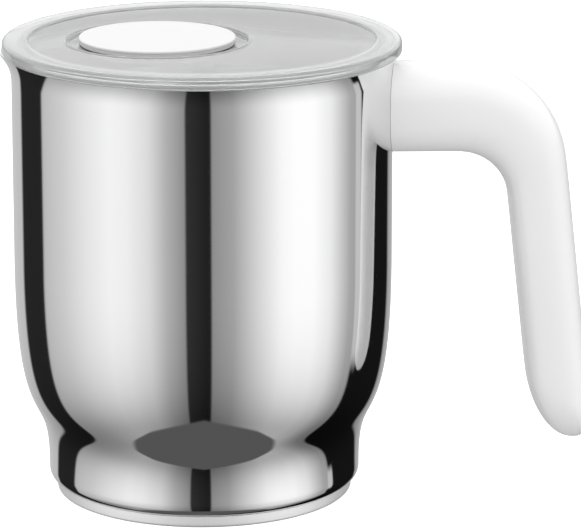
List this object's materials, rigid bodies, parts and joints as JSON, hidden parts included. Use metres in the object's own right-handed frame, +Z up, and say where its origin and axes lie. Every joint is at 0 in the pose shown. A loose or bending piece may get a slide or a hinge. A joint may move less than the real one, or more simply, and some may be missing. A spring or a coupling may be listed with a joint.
{
  "type": "milk frother",
  "caption": "Polished steel induction frothing jug with a waisted foot, a white bowed handle, a clear lid with an off-centre cap and a magnet-driven whisk inside.",
  "frame": {"origin": "centre of the foot's underside, on the surface that the jug stands on", "axes": "+Z up along the jug's axis, +X towards the handle, -X towards the spout, +Y completes a right-handed frame"},
  "size_m": [0.1646, 0.11, 0.1284],
  "materials": {
    "polished_steel": "mirror-polished stainless steel",
    "satin_steel": "satin, turned",
    "aluminium_core": "plain",
    "bracket_steel": "plain",
    "screw_steel": "plain",
    "spring_steel": "drawn wire",
    "magnet_plating": "nickel plated",
    "white_plastic": "glossy moulding",
    "white_cap": "satin moulding",
    "frosted_plastic": "frosted moulding",
    "dark_plastic": "fine matt moulding",
    "bearing_plastic": "plain",
    "grey_rubber": "matt",
    "clear_silicone": "translucent",
    "clear_plastic": "clear moulding"
  },
  "bodies": {
    "jug": {"jug_shell": "polished_steel", "heat_spreader": "aluminium_core", "base_cap": "satin_steel", "whisk_spindle": "polished_steel", "handle_bracket": "bracket_steel", "handle_shell": "white_plastic", "handle_screws": "screw_steel", "screw_plugs": "white_plastic", "handle_seal": "grey_rubber"},
    "lid": {"lid_panel": "clear_plastic", "lid_seal": "clear_silicone"},
    "cap": {"cap_disc": "white_cap", "cap_plug": "frosted_plastic", "cap_seal": "clear_silicone"},
    "pivot": {"pivot_sleeve": "screw_steel"},
    "whisk": {"hub_bush": "bearing_plastic", "whisk_hub": "dark_plastic", "drive_magnets": "magnet_plating", "magnet_cover": "dark_plastic", "whisk_stem": "dark_plastic"},
    "coil": {"coil_carrier": "dark_plastic", "coil_hoop": "screw_steel", "froth_coil": "spring_steel"}
  },
  "joints": [
    {"name": "lid_lift", "type": "slide", "parent": "jug", "child": "lid", "axis": [0, 0, 1], "range_m": [0, 0.03]},
    {"name": "cap_lift", "type": "slide", "parent": "lid", "child": "cap", "axis": [0, 0, 1], "range_m": [0, 0.012]},
    {"name": "whisk_lift", "type": "slide", "parent": "jug", "child": "pivot", "axis": [0, 0, 1], "range_m": [0, 0.014]},
    {"name": "whisk_spin", "type": "hinge", "parent": "pivot", "child": "whisk", "pos_m": [0, 0, 0.01], "axis": [0, 0, 1], "continuous": true},
    {"name": "coil_lift", "type": "slide", "parent": "whisk", "child": "coil", "axis": [0, 0, 1], "range_m": [0, 0.03]}
  ]
}
